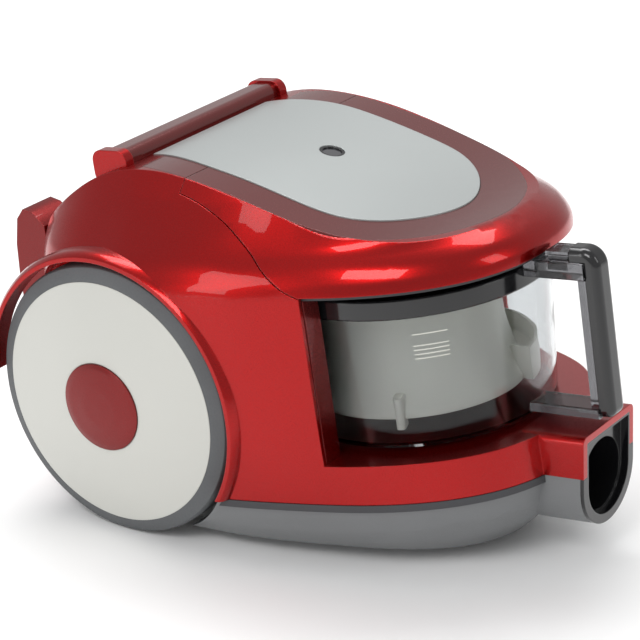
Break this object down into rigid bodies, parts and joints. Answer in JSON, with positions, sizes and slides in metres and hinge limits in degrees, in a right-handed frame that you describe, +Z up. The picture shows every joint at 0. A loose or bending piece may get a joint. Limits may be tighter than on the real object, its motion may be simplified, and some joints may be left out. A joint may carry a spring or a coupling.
{
  "type": "canister vacuum cleaner",
  "caption": "Bagless canister vacuum with a clear slide-out dust bin, large side wheels, a swivel castor, a front hose inlet and a carry handle.",
  "frame": {"origin": "on the floor, under the middle of the overall length and width", "axes": "+Z up, -Y towards the hose inlet at the front, +X to the machine's left"},
  "size_m": [0.299, 0.4347, 0.2628],
  "materials": {
    "red_gloss": "metallic red lacquered ABS",
    "maroon_gloss": "deep maroon high gloss",
    "silver_satin": "silver painted, satin",
    "grey_matt": "fine textured grey",
    "dark_grey": "dark textured",
    "wheel_light": "smooth satin light grey",
    "tyre": "soft matt rubber",
    "black_gloss": "piano black",
    "clear_cup": "clear smoky polycarbonate",
    "warm_grey": "moulded warm grey",
    "foam": "open cell foam",
    "seal": "soft seal",
    "steel": "turned steel",
    "board": "circuit board",
    "paper": "pleated filter paper",
    "window": "dark glossy window"
  },
  "bodies": {
    "housing": {"body_shell": "red_gloss", "rear_deck": "red_gloss", "panel_base": "red_gloss", "front_hood": "red_gloss", "handle_lugs": "red_gloss", "rear_feet": "red_gloss", "trim_frame_front": "maroon_gloss", "trim_frame_rear": "maroon_gloss", "carry_handle": "maroon_gloss", "top_panel": "silver_satin", "indicator_window": "window", "indicator_bezel": "black_gloss", "inlet_socket": "black_gloss", "chassis": "grey_matt", "castor_socket": "grey_matt", "parking_clip": "grey_matt", "exhaust_frame": "grey_matt", "bumper_strip": "dark_grey", "bin_bay_wall": "dark_grey", "filter_deck": "dark_grey", "inlet_duct": "dark_grey", "fan_cover": "dark_grey", "reel_bracket": "dark_grey", "reel_spring_case": "dark_grey", "cord_outlet_gland": "dark_grey", "motor_filter_sponge": "foam", "duct_gaskets": "seal", "motor_mounts": "seal", "case_screws": "steel", "wheel_axle_left": "steel", "wheel_axle_right": "steel", "axle_retainers": "steel", "motor_stator": "steel", "motor_housing": "steel", "control_board": "board", "exhaust_filter": "paper"},
    "wheel_left": {"tyre_left": "tyre", "wheel_disc_left": "wheel_light", "hub_cap_left": "red_gloss"},
    "wheel_right": {"tyre_right": "tyre", "wheel_disc_right": "wheel_light", "hub_cap_right": "red_gloss"},
    "castor_swivel": {"castor_fork": "dark_grey", "castor_pin": "steel"},
    "castor_roller": {"castor_wheel": "dark_grey"},
    "dust_bin": {"bin_cup": "clear_cup", "handle_bracket": "clear_cup", "bin_ring": "black_gloss", "handle_grip": "black_gloss", "cyclone_body": "warm_grey", "cyclone_grille": "dark_grey", "bin_seal": "seal"},
    "release_button": {"bin_release_button": "window"},
    "power_button": {"power_button": "dark_grey"},
    "rewind_button": {"rewind_button": "dark_grey"},
    "brake_lever": {"brake_lever": "dark_grey"},
    "reel": {"reel_drum": "dark_grey"},
    "armature": {"motor_armature": "steel", "suction_fan": "steel"},
    "exhaust_cover": {"exhaust_cover": "grey_matt"}
  },
  "joints": [
    {"name": "wheel_left_spin", "type": "hinge", "parent": "housing", "child": "wheel_left", "pos_m": [0.12, 0.102, 0.098], "axis": [1, 0, 0], "continuous": true},
    {"name": "wheel_right_spin", "type": "hinge", "parent": "housing", "child": "wheel_right", "pos_m": [-0.12, 0.102, 0.098], "axis": [1, 0, 0], "continuous": true},
    {"name": "castor_swivel", "type": "hinge", "parent": "housing", "child": "castor_swivel", "pos_m": [0, -0.09, 0.03], "axis": [0, 0, 1], "continuous": true},
    {"name": "castor_roll", "type": "hinge", "parent": "castor_swivel", "child": "castor_roller", "pos_m": [0, -0.081, 0.012], "axis": [1, 0, 0], "continuous": true},
    {"name": "bin_slide", "type": "slide", "parent": "housing", "child": "dust_bin", "axis": [0, -0.9936, 0.1132], "range_m": [0, 0.22]},
    {"name": "release_press", "type": "slide", "parent": "dust_bin", "child": "release_button", "axis": [0, -0.1132, -0.9936], "range_m": [0, 0.003], "stiffness_N_per_m": 600},
    {"name": "power_press", "type": "slide", "parent": "housing", "child": "power_button", "axis": [0, -0.7254, -0.6884], "range_m": [0, 0.003], "stiffness_N_per_m": 900},
    {"name": "rewind_press", "type": "slide", "parent": "housing", "child": "rewind_button", "axis": [0, -0.7254, -0.6884], "range_m": [0, 0.003], "stiffness_N_per_m": 900},
    {"name": "brake_release", "type": "hinge", "parent": "housing", "child": "brake_lever", "pos_m": [0.076, 0.15296, 0.15661], "axis": [0, 0.1132, 0.9936], "range_deg": [0, 5]},
    {"name": "reel_spin", "type": "hinge", "parent": "housing", "child": "reel", "pos_m": [0, 0.12293, 0.15802], "axis": [0, 0.1132, 0.9936], "continuous": true},
    {"name": "motor_spin", "type": "hinge", "parent": "housing", "child": "armature", "pos_m": [0, 0.09576, 0.07858], "axis": [0, 0.9936, -0.1132], "continuous": true},
    {"name": "exhaust_cover_hinge", "type": "hinge", "parent": "housing", "child": "exhaust_cover", "pos_m": [0, 0.18417, 0.04536], "axis": [-1, 0, 0], "range_deg": [0, 70]}
  ],
  "couplings": [
    {"joint": "brake_release", "follows": "rewind_press", "rad_per_m": 23}
  ]
}
